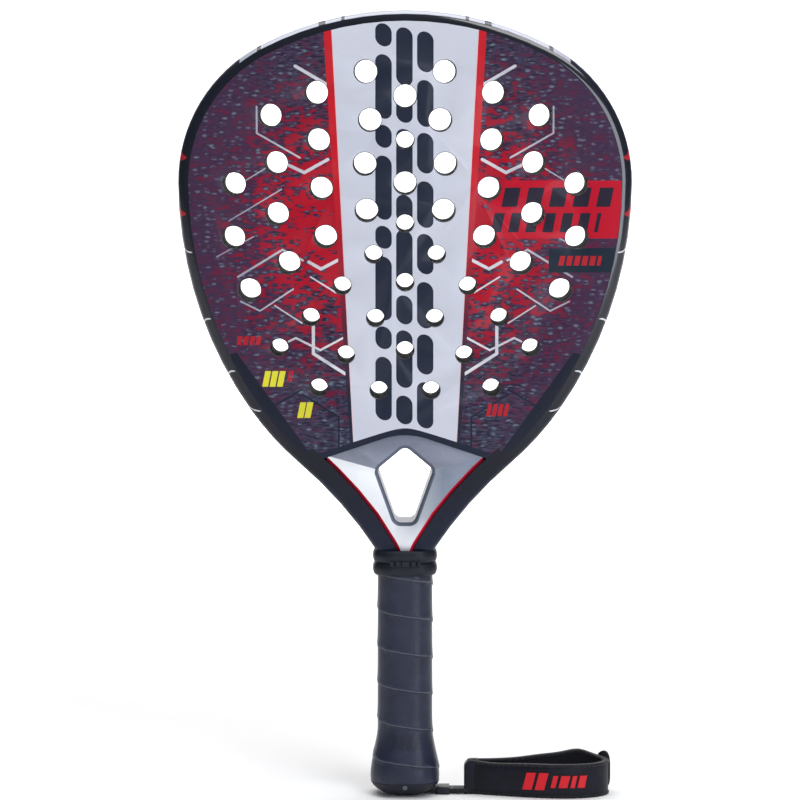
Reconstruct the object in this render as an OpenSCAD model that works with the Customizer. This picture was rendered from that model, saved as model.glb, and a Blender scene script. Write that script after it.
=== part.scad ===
// Padel racket: a hollow moulded frame round a foam core with two drilled faces, a throat
// bridge with an opening, a wrapped handle, and a padded wrist strap hinged in the butt.
// The racket stands on its butt: +Z runs to the crown, -Y is the front face, and the origin
// is on the floor under the middle of the butt.

/* [Overall size] */
// Length from the butt to the crown
length = 455; // [380:1:550]
// Width of the head at its widest
head_w = 260; // [216:1:315]
// Thickness of the head from face to face
head_t = 38; // [31:0.5:46]

/* [Frame tube] */
// Width of the tube round the head, in the plane of the face
tube_w = 10; // [8:0.5:12]
// Width of the tube beside the throat
throat_tube_w = 12; // [10:0.5:14]
// Wall of the tube
tube_wall = 1.5; // [1:0.1:2]
// Rounding of the tube's outer corners
tube_r = 5; // [3:0.5:6]
// Thickness of the frame where it enters the collar
neck_t = 26; // [24:0.5:30]

/* [Faces] */
// Thickness of each face skin
face_t = 1.5; // [1:0.1:2.5]
// Bore of the large holes in the middle and upper face
large_bore = 13; // [10:0.5:16]
// Bore of the small holes along the axis and the lower face
small_bore = 10; // [8:0.5:12]

/* [Throat] */
// Rise of the throat arch above the top of the shanks
arch_rise = 82; // [75:1:95]
// Slope of the arch on both sides of its crown
arch_slope = 18.5; // [12:0.5:24]
// Rounding of the arch's crown
arch_r = 40; // [20:1:60]
// Width of the opening
opening_w = 32.4; // [26:0.2:36]
// Height of the opening
opening_h = 44.4; // [36:0.2:50]
// Width of the opening's foot
opening_foot = 10.4; // [8:0.2:14]
// Thickness of the bridge between the arch and the opening
bridge_t = 6.7; // [5:0.1:12]
// Rounding of the opening's corners
opening_r = 4; // [2:0.5:5]

/* [Handle] */
// Height of the top of the straight shanks above the butt
handle_l = 130; // [108:1:156]
// Width over the grip
handle_w = 32.4; // [27:0.2:39]
// Depth over the grip
handle_d = 29.4; // [27:0.2:35]
// Cut across each long edge of the handle
edge_cut = 7.2; // [6:0.2:8]
// Width of the flare at the butt
butt_w = 40.8; // [40:0.2:49]
// Depth of the flare at the butt
butt_d = 37.4; // [36:0.2:38]
// Height at which the flare starts
flare_z = 41; // [38:1:50]
// Thickness of the grip wrap
grip_t = 1.8; // [1.2:0.1:2.2]
// Wall of the handle shells at the sides
pallet_side = 1.9; // [1.6:0.1:2.4]
// Wall of the handle shells at front and rear
pallet_face = 2.9; // [2.4:0.1:3.2]
// Thickness of the foam spine between the shanks
spine_w = 5; // [3:0.5:6]
// Height of the rubber collar
collar_h = 14.7; // [12:0.1:18]
// How far the collar stands proud of the grip
collar_t = 2.1; // [1.6:0.1:2.6]

/* [Wrist strap] */
// Diameter of the pin in the butt that holds the strap
pin_d = 3; // [2.5:0.1:4]
// Width of the webbing lead
lead_w = 10; // [8:0.5:11]
// Thickness of the folded lead
lead_t = 2.4; // [2:0.1:2.8]
// Distance from the pin to the end of the lead
lead_l = 33.5; // [30:0.5:45]
// Wall of the sleeve that closes the lead's fold
sleeve_wall = 1; // [0.8:0.1:1.2]
// Length of the sleeve
sleeve_l = 7.5; // [5:0.5:8]
// Width of the padded band
band_w = 20; // [16:0.5:24]
// Thickness of the band's outer pad
pad_t = 1.8; // [1.4:0.1:2.2]
// Thickness of the band's lining
lining_t = 1.4; // [1:0.1:1.8]
// Length of the loop, laid out as a drop
loop_l = 81; // [68:1:90]
// Half of the loop's width, to the middle of the band
loop_half = 16.5; // [13:0.5:16.5]

/* [Hidden] */
$fn = 64;
fit = 0.1;          // clearance of pieces that slide over each other when assembled
running = 0.05;     // radial clearance of the lead on its pin
far = 400;          // longer than any cut has to be

// Tangent arcs of half the head's outline, from the crown to the shank: [radius, sweep].
// A minus radius bends outward, where the throat flows into the handle.
ARCS = [[181, 27], [88, 63], [227, 35], [168, 14], [-246, 16], [-26, 33]];
ARC_STEP = 4;

// Half of the drilling template: [distance from the axis, height above the arch] on a head
// of the template's size. Holes off the axis come in pairs.
TEMPLATE_W = 260;
TEMPLATE_H = 243;
LARGE_HOLES = [[22.5, 208], [50.5, 196], [0, 194], [77, 183], [20, 180.5], [49.5, 169],
               [73.5, 156], [23, 155.5], [0, 144.5], [97.5, 144], [48, 141.5], [22, 129],
               [73, 127], [45.5, 114], [98, 113.5], [66.5, 99], [89, 83.5]];
SMALL_HOLES = [[0, 169], [0, 121.5], [18, 104], [0, 88], [36, 86], [54, 68], [17, 67.5],
               [72, 50.5], [0, 49], [34, 46.5], [49.5, 27.5], [15, 26]];

// Dome of the butt: [height, share of the full width]
belly_z = 11;
DOME = [[0, 0.45], [1, 0.6], [2.6, 0.74], [5.4, 0.9], [8.4, 0.98], [belly_z, 1]];

// Heights along the racket
slot_h = 13;                            // top of the strap's slot in the butt cap
cap_floor_z = slot_h + 3;               // the shanks and shells stand on this floor
lip_z = 8.4;                            // the wrap starts above the cap's lip
cap_top_z = 30;
SKIRT = [lip_z, belly_z, 15, 20, 25, cap_top_z];     // rings of the cap under the wrap
handle_top = handle_l + 4;              // the shells, the spine and the wrap end here
collar_z = handle_l - 0.3;
collar_top = collar_z + collar_h;
arch_z = handle_l + arch_rise;
taper_z = arch_z - 16;                  // below this the frame gets thinner

// Widths inside the handle
pallet_w = handle_w - 2 * grip_t;
pallet_d = handle_d - 2 * grip_t;
shank_w = pallet_w - 2 * pallet_side;
shank_t = pallet_d - 2 * pallet_face;
shank_tube_w = (shank_w - spine_w) / 2;
CHAMFER = 2 - sqrt(2);                  // cut that just clears a corner of radius 1

// Strap
pin_z = 6.2;
slot_w = lead_w + 1.2;
slot_half = 14;
lead_z = sleeve_wall + lead_t / 2;      // height of the lead's middle on the floor
sleeve_x = 18.5;
tab_x = lead_l + 1;
tab_l = 8.5;
tab_wall = 1;
band_t = pad_t + lining_t;
strand_gap = 0.3;                       // half the gap between the strands where they meet
loop_x = tab_x + 2;
badge_t = 0.7;
closure_t = 1.2;

// ---- Plain helpers ----

function unit(v) = v / norm(v);
function turned(v, a) = [v.x * cos(a) - v.y * sin(a), v.x * sin(a) + v.y * cos(a)];
function ease(u) = let (s = min(max(u, 0), 1)) s * s * (3 - 2 * s);
function reversed(list) = [for (i = [len(list) - 1 : -1 : 0]) list[i]];
function mirrored(list) = [for (p = reversed(list)) [-p.x, p.y]];

function arc(middle, r, a0, a1) =
    [for (i = [0 : 10]) middle + r * [cos(a0 + (a1 - a0) * i / 10), sin(a0 + (a1 - a0) * i / 10)]];

// Corner q between p and s, rounded to radius r
function fillet(p, q, s, r) =
    let (a = unit(p - q), b = unit(s - q), half = acos(a * b) / 2,
         middle = q + unit(a + b) * r / sin(half),
         first = q + a * r / tan(half) - middle,
         last = q + b * r / tan(half) - middle,
         sweep = (180 - 2 * half) * sign(cross(first, last)))
    [for (i = [0 : 6]) middle + turned(first, sweep * i / 6)];

function rounded(corners, r) = let (n = len(corners))
    [for (i = [0 : n - 1]) each fillet(corners[(i + n - 1) % n], corners[i], corners[(i + 1) % n], r)];

// Two triangles for a four-sided patch
function patch(a, b, c, d) = [[a, b, c], [a, c, d]];

// Closed solid through rings of points, each counter-clockwise seen from the last ring
module lofted(rings) {
    n = len(rings);
    m = len(rings[0]);
    sides = [for (i = [0 : n - 2], j = [0 : m - 1]) let (k = (j + 1) % m)
        each patch(i * m + j, (i + 1) * m + j, (i + 1) * m + k, i * m + k)];
    first = [for (j = [0 : m - 1]) j];
    last = [for (j = [m - 1 : -1 : 0]) (n - 1) * m + j];
    polyhedron([for (ring = rings) each ring], concat(sides, [first, last]));
}

// Tube between outer and inner rings of equal counts, with its two ends open
module sheath(outer, inner) {
    n = len(outer);
    m = len(outer[0]);
    o = n * m;
    sides = [for (i = [0 : n - 2], j = [0 : m - 1]) let (k = (j + 1) % m)
        each concat(
            patch(i * m + j, (i + 1) * m + j, (i + 1) * m + k, i * m + k),
            patch(o + i * m + j, o + i * m + k, o + (i + 1) * m + k, o + (i + 1) * m + j))];
    e = (n - 1) * m;
    ends = [for (j = [0 : m - 1]) let (k = (j + 1) % m)
        each concat(patch(j, k, o + k, o + j), patch(o + e + j, o + e + k, e + k, e + j))];
    polyhedron(concat([for (r = outer) each r], [for (r = inner) each r]), concat(sides, ends));
}

// Eight-sided ring of a handle section at height z
function octagon(half_w, half_d, cut) =
    [[half_w - cut, -half_d], [half_w, cut - half_d], [half_w, half_d - cut], [half_w - cut, half_d],
     [cut - half_w, half_d], [-half_w, half_d - cut], [-half_w, cut - half_d], [cut - half_w, -half_d]];
function lifted(points, z) = [for (p = points) [p.x, p.y, z]];

// Draws a plan of the face, X to the right and Z up, as a slab between two depths
module slab(y0, y1) {
    translate([0, y1, 0])
        rotate([90, 0, 0])
            linear_extrude(y1 - y0)
                children();
}

// ---- The head's outline ----

function heading(k) = k == 0 ? 0 : heading(k - 1) + sign(ARCS[k - 1][0]) * ARCS[k - 1][1];
function along(k, a) = ARCS[k][0] * [sin(a) - sin(heading(k)), cos(a) - cos(heading(k))];
function arc_start(k) = k == 0 ? [0, 0] : arc_start(k - 1) + along(k - 1, heading(k));
drawn = concat(
    [for (k = [0 : len(ARCS) - 1]) let (n = ceil(ARCS[k][1] / ARC_STEP), s = sign(ARCS[k][0]))
        for (i = [0 : n - 1]) arc_start(k) + along(k, heading(k) + s * ARCS[k][1] * i / n)],
    [arc_start(len(ARCS))]);

// The drawn outline is stretched to the head's size, and its foot is led onto the shank
drawn_h = -drawn[len(drawn) - 1].y;
stretch = head_w / 2 / max([for (p = drawn) p.x]);
foot_shift = shank_w / 2 - drawn[len(drawn) - 1].x * stretch;
half_outline = [for (p = drawn) let (down = -p.y / drawn_h)
    [p.x * stretch + foot_shift * pow(down, 3), length - down * (length - handle_l)]];
OUTLINE_X = [for (p = half_outline) [p.y, p.x]];

// Width and thickness of the frame at a height
function frame_w(z) = lookup(z, [[handle_l, shank_tube_w], [handle_l + 30, throat_tube_w],
                                 [arch_z, throat_tube_w], [arch_z + 30, tube_w]]);
function frame_t(z) = lookup(z, [[handle_top, shank_t], [collar_top, neck_t], [taper_z, head_t]]);

// From the foot of the left shank over the crown to the foot of the right one
right_rim = concat(half_outline, [[shank_w / 2, cap_floor_z]]);
rim = concat([for (i = [len(right_rim) - 1 : -1 : 1]) [-right_rim[i].x, right_rim[i].y]], right_rim);
function inward(i) =
    let (t = unit(rim[min(i + 1, len(rim) - 1)] - rim[max(i - 1, 0)])) [t.y, -t.x];
inner_rim = [for (i = [0 : len(rim) - 1]) rim[i] + inward(i) * frame_w(rim[i].y)];

// Section of the tube as [distance inward, side, fall from the face]
function half_section(w, inset, side, angles) = let (r = tube_r - inset)
    [for (a = angles) [inset + r * (1 - sin(a)), side, r * (1 - cos(a))]];
function section(w, inset) = concat(
    [[w - inset, 1, 0]], half_section(w, inset, 1, [0 : 45 : 90]),
    half_section(w, inset, -1, [90 : -45 : 0]), [[w - inset, -1, 0]]);
function frame_ring(i, inset) =
    [for (s = section(frame_w(rim[i].y), inset)) let (p = rim[i] + inward(i) * s[0])
        [p.x, s[1] * (frame_t(p.y) / 2 - inset - s[2]), p.y]];

// ---- Plans of the face ----

module inside_plan() {
    polygon([for (p = inner_rim) if (p.y > cap_floor_z + 1) p]);
}

// Everything under the throat arch
module under_arch_plan() {
    crown_x = arch_r * sin(arch_slope);
    crown_drop = arch_r * (1 - cos(arch_slope));
    reach = head_w / 2;
    shoulder = [reach, arch_z - crown_drop - (reach - crown_x) * tan(arch_slope)];
    crown = [for (a = [arch_slope : -arch_slope / 5 : 0.01])
        [arch_r * sin(a), arch_z - arch_r * (1 - cos(a))]];
    right = concat([[reach, 0], shoulder], crown);
    polygon(concat(right, [[0, arch_z]], mirrored(right)));
}

module head_plan() {
    difference() {
        inside_plan();
        under_arch_plan();
    }
}

module bores() {
    for (set = [[LARGE_HOLES, large_bore], [SMALL_HOLES, small_bore]], h = set[0], s = [-1, 1])
        if (s > 0 || h.x > 0)
            translate([s * h.x * head_w / TEMPLATE_W, 0, arch_z + h.y * (length - arch_z) / TEMPLATE_H])
                rotate([90, 0, 0])
                    cylinder(d = set[1], h = far, center = true);
}

// ---- Head ----

module frame_tube() {
    color([0.09, 0.10, 0.15])
        sheath([for (i = [0 : len(rim) - 1]) frame_ring(i, 0)],
               [for (i = [0 : len(rim) - 1]) frame_ring(i, tube_wall)]);
}

module drilled(y0, y1) {
    difference() {
        slab(y0, y1) head_plan();
        bores();
    }
}

module eva_core() {
    color([0.06, 0.06, 0.07]) drilled(face_t - head_t / 2, head_t / 2 - face_t);
}

module front_face() {
    color([0.30, 0.24, 0.33]) drilled(-head_t / 2, face_t - head_t / 2);
}

module rear_face() {
    color([0.30, 0.24, 0.33]) drilled(head_t / 2 - face_t, head_t / 2);
}

module throat_yoke() {
    top = arch_z - bridge_t;
    shoulder_z = top - opening_h * 0.3;
    opening = [[0, top], [-opening_w / 2, shoulder_z], [-opening_foot / 2, top - opening_h],
               [opening_foot / 2, top - opening_h], [opening_w / 2, shoulder_z]];
    profile = [[shank_t / 2, handle_top], [neck_t / 2, collar_top], [head_t / 2, taper_z],
               [head_t / 2, far]];
    color([0.78, 0.79, 0.83])
        intersection() {
            slab(-head_t, head_t)
                difference() {
                    intersection() {
                        inside_plan();
                        under_arch_plan();
                    }
                    polygon(rounded(opening, opening_r));
                }
            rotate([90, 0, 90])
                linear_extrude(far, center = true)
                    polygon(concat(profile, mirrored(profile)));
        }
}

// ---- Handle ----

// Half sizes over the wrap at a height: a straight grip, a flare and a domed butt
function swell(z) = ease((flare_z - z) / (flare_z - belly_z));
function half_w(z) = (handle_w + (butt_w - handle_w) * swell(z)) / 2 * lookup(z, DOME);
function half_d(z) = (handle_d + (butt_d - handle_d) * swell(z)) / 2 * lookup(z, DOME);
function handle_ring(z, inset) =
    lifted(octagon(half_w(z) - inset, half_d(z) - inset,
                   edge_cut * half_w(z) * 2 / handle_w - inset * CHAMFER), z);

// The spine fills what the frame's inner line leaves free between the two shanks
module handle_spine() {
    color([0.85, 0.82, 0.70])
        slab(-shank_t / 2, shank_t / 2)
            intersection() {
                polygon(inner_rim);
                translate([-spine_w, cap_floor_z])
                    square([2 * spine_w, handle_top - cap_floor_z]);
            }
}

module pallet_plan() {
    polygon(octagon(pallet_w / 2, pallet_d / 2, edge_cut - grip_t * CHAMFER));
}

// Room for the pair of shanks, with the frame's own corner rounding
module shank_room(extra) {
    polygon(octagon(shank_w / 2 + extra, shank_t / 2 + extra, tube_r * CHAMFER));
}

// One half of the shell round the shanks: side is -1 at the front and 1 at the rear
module pallet(side) {
    relief = 0.5;               // more room where the frame starts to widen
    relief_h = 8;
    color([0.72, 0.70, 0.62])
        intersection() {
            difference() {
                translate([0, 0, cap_floor_z])
                    linear_extrude(handle_top - cap_floor_z) pallet_plan();
                linear_extrude(far) shank_room(fit);
                translate([0, 0, handle_top - relief_h])
                    linear_extrude(far) shank_room(relief);
            }
            translate([-far / 2, side < 0 ? -far : 0, 0])
                cube([far, far, far]);
        }
}

module front_pallet() {
    pallet(-1);
}

module rear_pallet() {
    pallet(1);
}

module butt_cap() {
    lip = [for (z = [0, 1, 2.6, 5.4, lip_z]) handle_ring(z, 0)];
    skirt = [for (z = SKIRT) handle_ring(z, grip_t)];
    groove_h = sleeve_wall + lead_t + 1;
    color([0.08, 0.09, 0.12])
        difference() {
            lofted(concat(lip, skirt));
            translate([0, 0, cap_floor_z])
                linear_extrude(far) pallet_plan();
            translate([-slot_half, -slot_w / 2, -1])
                cube([2 * slot_half, slot_w, slot_h + 1]);
            translate([-butt_w, -slot_w / 2, -1])
                cube([2 * butt_w, slot_w, groove_h + 1]);
            translate([0, 0, pin_z])
                rotate([90, 0, 0])
                    cylinder(d = pin_d, h = far, center = true);
        }
}

module strap_pin() {
    pin_l = 2 * (half_d(pin_z) - 1);    // each end sits a little inside its bore
    color([0.6, 0.62, 0.65])
        translate([0, 0, pin_z])
            rotate([90, 0, 0])
                cylinder(d = pin_d, h = pin_l, center = true);
}

module base_grip() {
    straight_in = octagon(pallet_w / 2, pallet_d / 2, edge_cut - grip_t * CHAMFER);
    high = [cap_top_z + 0.2, 35, flare_z, handle_top];
    color([0.20, 0.22, 0.29])
        sheath([for (z = concat(SKIRT, high)) handle_ring(z, 0)],
               concat([for (z = SKIRT) handle_ring(z, grip_t)], [for (z = high) lifted(straight_in, z)]));
}

// Rubber ring over the end of the wrap and the neck of the frame, with two round ribs
module grip_collar() {
    RIBS = [[0, -0.9], [0.06, -0.1], [0.28, 0.4], [0.44, -0.1], [0.5, -0.6], [0.56, -0.1],
            [0.77, 0.4], [0.94, -0.1], [1, -0.9]];
    grip_hold = [0, 0.06, 0.28];        // these rings sit on the wrap, the rest on the frame
    outer_cut = edge_cut + 0.5;
    function on_grip(z) = lifted(octagon(handle_w / 2 + fit, handle_d / 2 + fit, edge_cut), z);
    function on_frame(z) = let (x = lookup(z, OUTLINE_X) + fit)
        lifted(octagon(x, frame_t(z) / 2 + fit, tube_r * CHAMFER), z);
    function outer(u, proud) = let (t = collar_t + proud)
        lifted(octagon(handle_w / 2 + t, handle_d / 2 + t, outer_cut), collar_z + u * collar_h);
    step_u = (handle_top + 0.1 - collar_z) / collar_h;
    low = [for (r = RIBS) if (r[0] < step_u) r];
    high = [for (r = RIBS) if (r[0] > step_u + 0.02) r];
    step = [[step_u, lookup(step_u, RIBS)], [step_u + 0.01, lookup(step_u + 0.01, RIBS)]];
    color([0.11, 0.12, 0.16])
        sheath([for (r = concat(low, step, high)) outer(r[0], r[1])],
               concat([for (r = low) on_grip(collar_z + r[0] * collar_h)],
                      [on_grip(collar_z + step[0][0] * collar_h)],
                      [on_frame(collar_z + step[1][0] * collar_h)],
                      [for (r = high) on_frame(collar_z + r[0] * collar_h)]));
}

// ---- Wrist strap ----

// The webbing is folded round the pin, comes down to the floor and runs out to the band
module strap_lead() {
    loop_r = pin_d / 2 + running + lead_t / 2;
    top = lead_z + lead_t / 2;
    foot = lead_z - lead_t / 2;
    color([0.07, 0.07, 0.08])
        slab(-lead_w / 2, lead_w / 2)
            difference() {
                polygon(concat([[8.8, foot]], arc([lead_l, lead_z], lead_t / 2, -90, 90),
                               [[10.5, top]], arc([0, pin_z], loop_r, 53, 260)));
                translate([0, pin_z]) circle(r = pin_d / 2 + running);
            }
}

module lead_sleeve() {
    color([0.05, 0.05, 0.06])
        difference() {
            translate([sleeve_x, -lead_w / 2 - sleeve_wall, 0])
                cube([sleeve_l, lead_w + 2 * sleeve_wall, lead_t + 2 * sleeve_wall]);
            translate([sleeve_x - 1, -lead_w / 2, sleeve_wall])
                cube([sleeve_l + 2, lead_w, lead_t]);
        }
}

// Middle line of the band from its front end round the loop to its rear end, a in 0 to 360.
// The rear strand stays pinched for longer than the front one.
function bulge(a) = let (power = a < 180 ? 1.5 : 4, peak = a < 180 ? 0.702 : 0.517)
    sin(a) * pow(sin(a / 2), power) / peak;
// Half the distance between the strands where they meet, which dies out where the loop turns
start_y = strand_gap + band_t / 2;
function apart(a) = start_y * (a < 180 ? -1 : 1) * (1 - pow(sin(a / 2), 8));
function band_middle(a) =
    [loop_x + loop_l * (1 - cos(a)) / 2, apart(a) - bulge(a) * (loop_half - start_y)];
function band_side(a, off) =
    let (t = unit(band_middle(min(a + 1, 360)) - band_middle(max(a - 1, 0))))
    band_middle(a) + [t.y, -t.x] * off;
// Plan of a layer between two distances from the middle line; a0 and a1 are multiples of 6
function strip(a0, a1, low, high) = let (n = (a1 - a0) / 6)
    concat([for (i = [0 : n]) band_side(a0 + (a1 - a0) * i / n, high)],
           [for (i = [n : -1 : 0]) band_side(a0 + (a1 - a0) * i / n, low)]);

module wrist_pad() {
    color([0.08, 0.08, 0.10])
        linear_extrude(band_w)
            polygon(strip(0, 360, band_t / 2 - pad_t, band_t / 2));
}

module wrist_lining() {
    color([0.12, 0.12, 0.14])
        linear_extrude(band_w)
            polygon(strip(0, 360, -band_t / 2, band_t / 2 - pad_t));
}

// Sewn wrap that joins the band's two ends to the lead
module band_end_tab() {
    half = start_y + band_t / 2 + tab_wall;
    swing_r = lead_t / 2 * 1.9;         // clears the lead when the band tilts
    color([0.06, 0.06, 0.07])
        difference() {
            linear_extrude(band_w)
                difference() {
                    translate([tab_x, -half]) square([tab_l, 2 * half]);
                    polygon(strip(0, 90, -band_t / 2, band_t / 2));
                    polygon(strip(270, 360, -band_t / 2, band_t / 2));
                }
            translate([lead_l, 0, lead_z])
                rotate([90, 0, 0])
                    cylinder(r = swing_r, h = far, center = true);
        }
}

module wrist_closure() {
    color([0.10, 0.10, 0.12])
        translate([0, 0, 2])
            linear_extrude(band_w + 1)
                polygon(strip(186, 210, band_t / 2, band_t / 2 + closure_t));
}

module strap_badge() {
    color([0.82, 0.10, 0.14])
        translate([0, 0, band_w * 0.2])
            linear_extrude(band_w * 0.6)
                polygon(strip(96, 126, band_t / 2, band_t / 2 + badge_t));
}

frame_tube();
eva_core();
front_face();
rear_face();
throat_yoke();
handle_spine();
front_pallet();
rear_pallet();
butt_cap();
strap_pin();
base_grip();
grip_collar();
strap_lead();
lead_sleeve();
band_end_tab();
wrist_pad();
wrist_lining();
wrist_closure();
strap_badge();
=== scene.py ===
# %% [markdown]
# A padel racket: a hollow moulded frame round a black foam core, two printed and drilled
# faces, a silver throat bridge, a wrapped handle with a rubber collar, and a padded wrist
# strap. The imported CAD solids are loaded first. They fix every size and place, and each
# step below either gives one of them its finish or makes a finer piece to stand for it.
# %% Load the frame
from contextlib import contextmanager
from math import atan2, cos, degrees, exp, hypot, pi, radians, sin, sqrt, tan
import bmesh
import bpy
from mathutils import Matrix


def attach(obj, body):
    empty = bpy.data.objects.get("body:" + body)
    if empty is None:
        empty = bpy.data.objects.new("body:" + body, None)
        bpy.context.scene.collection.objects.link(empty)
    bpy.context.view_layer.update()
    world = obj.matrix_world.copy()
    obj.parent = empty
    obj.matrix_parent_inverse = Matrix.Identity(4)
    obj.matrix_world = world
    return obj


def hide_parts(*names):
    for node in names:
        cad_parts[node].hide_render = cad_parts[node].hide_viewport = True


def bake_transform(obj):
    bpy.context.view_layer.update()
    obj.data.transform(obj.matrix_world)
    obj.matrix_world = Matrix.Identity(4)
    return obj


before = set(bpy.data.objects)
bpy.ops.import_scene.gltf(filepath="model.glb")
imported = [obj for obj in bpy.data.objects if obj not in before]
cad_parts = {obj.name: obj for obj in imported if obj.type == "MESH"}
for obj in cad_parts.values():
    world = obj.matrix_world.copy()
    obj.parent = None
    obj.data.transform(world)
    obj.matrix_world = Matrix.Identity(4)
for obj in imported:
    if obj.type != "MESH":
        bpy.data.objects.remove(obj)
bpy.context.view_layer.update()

MM = 0.001

# %% [markdown]
# The camera comes first, so that every later render shows the same view. It is a long lens a
# little over two metres away, slightly above the middle of the racket and looking down on it,
# which is how a product is usually shown: far away, so that its shape is not distorted.
# %% Camera
bpy.ops.object.camera_add(location=(-0.0029, -2.069, 0.4236), rotation=(radians(84.67), 0, 0))
camera = bpy.context.object
camera.data.lens = 161.6
camera.data.sensor_width = 36
bpy.context.scene.camera = camera
bpy.context.scene.view_settings.view_transform = "Standard"
print("camera", tuple(round(v, 3) for v in camera.location))

# %% [markdown]
# Helpers that many steps share. Colours are written as the hex values a paint chart gives,
# and one function turns them into the linear values that shaders need. One function adds a
# shader node with its settings and links: a node given as an input means its first output.
# The short ones after it add the kinds of node that nearly every material uses.
# %% Colour and node helpers
def shade(code):
    parts = [int(code[i:i + 2], 16) / 255 for i in (1, 3, 5)]
    linear = [p / 12.92 if p <= 0.04045 else ((p + 0.055) / 1.055) ** 2.4 for p in parts]
    return (*linear, 1.0)


def add(tree, kind, settings, inputs):
    made = tree.nodes.new("ShaderNode" + kind)
    for name, value in settings.items():
        setattr(made, name, value)
    for key, value in inputs.items():
        if isinstance(value, bpy.types.Node):
            value = value.outputs[0]
        if isinstance(value, bpy.types.NodeSocket):
            tree.links.new(value, made.inputs[key])
        else:
            made.inputs[key].default_value = value
    return made


def maths(tree, operation, *values):
    return add(tree, "Math", {"operation": operation}, dict(enumerate(values)))


def noise(tree, place, scale, detail):
    return add(tree, "TexNoise", {}, {"Vector": place, "Scale": scale, "Detail": detail})


def material(name, settings):
    made = bpy.data.materials.new(name)
    made.use_nodes = True
    shader = made.node_tree.nodes["Principled BSDF"]
    for socket, value in settings.items():
        shader.inputs[socket].default_value = value
    return made, made.node_tree, shader


def millimetres(tree):
    """The piece's own coordinates, in millimetres instead of metres."""
    place = add(tree, "TexCoord", {}, {})
    return add(tree, "VectorMath", {"operation": "SCALE"}, {0: place.outputs["Object"], "Scale": 1000.0})


def blended(tree, share, first, second):
    """A colour between two, each a hex value or a node's colour, by a share from 0 to 1."""
    first, second = [shade(c) if isinstance(c, str) else c for c in (first, second)]
    both = add(tree, "Mix", {"data_type": "RGBA"}, {0: share, 6: first, 7: second})
    return both.outputs[2]


def finished(tree, shader, colour, height, depth):
    """Links the colour, and lets a pattern catch the light as if it stood depth mm proud."""
    tree.links.new(colour, shader.inputs["Base Color"])
    bump = add(tree, "Bump", {}, {"Height": height, "Distance": depth * MM, "Strength": 1.0})
    tree.links.new(bump.outputs[0], shader.inputs["Normal"])


def grained(name, settings, texture, pattern, colours, depth):
    """A plain finish: one texture that sways the colour between two and gives the relief."""
    made, tree, shader = material(name, settings)
    grain = add(tree, texture, {}, {"Vector": millimetres(tree), **pattern})
    finished(tree, shader, blended(tree, grain, *colours), grain, depth)
    return made


# %% [markdown]
# Helpers for shapes. A CAD node is never touched, so a finer piece starts from a copy of its
# mesh, whose loose triangles are first merged. Faces and edges are picked in code, by their
# place or angle, and an operator then works on what is picked, as it would by hand.
# %% Shape helpers
def alone(piece):
    bpy.ops.object.select_all(action="DESELECT")
    piece.select_set(True)
    bpy.context.view_layer.objects.active = piece


@contextmanager
def editing(piece):
    """Edit mode on one piece, for as long as the indented lines last."""
    alone(piece)
    bpy.ops.object.mode_set(mode="EDIT")
    yield
    bpy.ops.object.mode_set(mode="OBJECT")


def copied(node, name):
    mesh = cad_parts[node].data.copy()
    mesh.materials.clear()
    piece = bpy.data.objects.new(name, mesh)
    bpy.context.collection.objects.link(piece)
    with editing(piece):
        bpy.ops.mesh.select_all(action="SELECT")
        bpy.ops.mesh.remove_doubles(threshold=0.00002)
        bpy.ops.mesh.dissolve_limited(angle_limit=radians(0.5))
    return piece


MODES = {"verts": "VERT", "edges": "EDGE", "faces": "FACE"}


def pick(part, test):
    """In edit mode, selects the vertices, edges or faces for which test is true."""
    bpy.ops.mesh.select_mode(type=MODES[part])
    bpy.ops.mesh.select_all(action="DESELECT")
    mesh = bmesh.from_edit_mesh(bpy.context.edit_object.data)
    found = [e for e in getattr(mesh, part) if test(e)]
    for e in found:
        e.select_set(True)
    mesh.select_flush_mode()
    bmesh.update_edit_mesh(bpy.context.edit_object.data)
    return len(found)


def edge_turn(edge):
    """Angle in degrees by which the surface turns at an edge."""
    return degrees(edge.calc_face_angle(0.0))


def middle(face):
    """Middle of a face, in millimetres."""
    return face.calc_center_median() / MM


def painted(slot_index):
    """In edit mode, gives the selected faces one of the piece's material slots."""
    bpy.context.object.active_material_index = slot_index
    bpy.ops.object.material_slot_assign()


def softened(piece, width, segments, angle):
    alone(piece)
    bevel = piece.modifiers.new("softened edges", "BEVEL")
    bevel.width = width * MM
    bevel.segments = segments
    bevel.limit_method = "ANGLE"
    bevel.angle_limit = radians(angle)
    bevel.harden_normals = False
    bpy.ops.object.modifier_apply(modifier=bevel.name)


def smoothed(piece, angle=35):
    alone(piece)
    bpy.ops.object.shade_smooth_by_angle(angle=radians(angle))
    print(piece.name, len(piece.data.polygons), "faces")


def stands_for(piece, node, body):
    """Shows the piece in place of a CAD node, on the body that the node moves with."""
    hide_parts(node)
    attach(piece, body)


# %% [markdown]
# The stage is not part of the racket: one pale sheet that lies under it and curves up behind
# it, so that no horizon line shows. It starts as a plane whose far edge is extruded upwards,
# and the fold between floor and wall is bevelled into a wide sweep.
# %% Stage
bpy.ops.mesh.primitive_plane_add(size=9, location=(0, 1.0, 0))
sweep = bpy.context.object
sweep.name = "paper_sweep"
with editing(sweep):
    pick("edges", lambda e: all(v.co.y > 4.4 for v in e.verts))
    bpy.ops.mesh.extrude_region_move(TRANSFORM_OT_translate={"value": (0, 0, 5)})
    pick("edges", lambda e: all(v.co.y > 4.4 and v.co.z < 0.1 for v in e.verts))
    bpy.ops.mesh.bevel(offset=2.0, segments=24)
smoothed(sweep, 60)
paper, tree, shader = material("matt white paper", {"Roughness": 0.9, "Specular IOR Level": 0.1})
fibre = noise(tree, millimetres(tree), 0.02, 4.0)
tone = blended(tree, fibre, "#f6f6f6", "#fbfbfb")
tree.links.new(tone, shader.inputs["Base Color"])
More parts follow.
